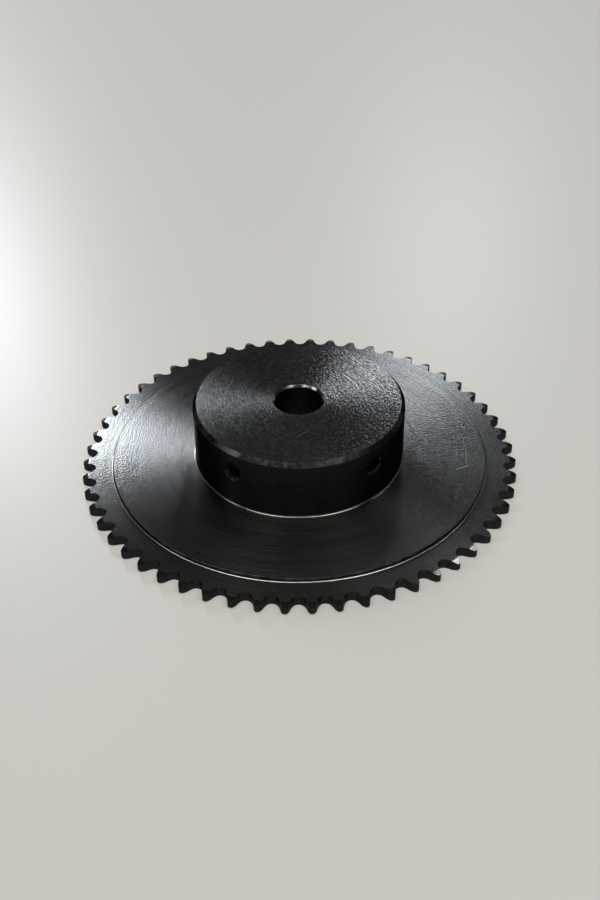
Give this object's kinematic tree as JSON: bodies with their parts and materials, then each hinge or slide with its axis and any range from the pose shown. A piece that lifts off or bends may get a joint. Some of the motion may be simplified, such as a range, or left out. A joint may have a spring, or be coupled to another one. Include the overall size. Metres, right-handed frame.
{
  "type": "chain sprocket",
  "caption": "Single-strand roller chain sprocket with a raised web, a hub on one side, a plain finished bore and tapped holes for set screws.",
  "frame": {"origin": "centre of the bore at the flat back face", "axes": "+Z along the bore's axis towards the hub's end face; +X through the middle of a tooth; the set-screw holes lie either side of -Y"},
  "size_m": [0.1754, 0.1754, 0.0309],
  "materials": {
    "steel": "turned steel with a lightly oiled black oxide coating"
  },
  "bodies": {
    "root": {"sprocket": "steel"}
  },
  "joints": []
}
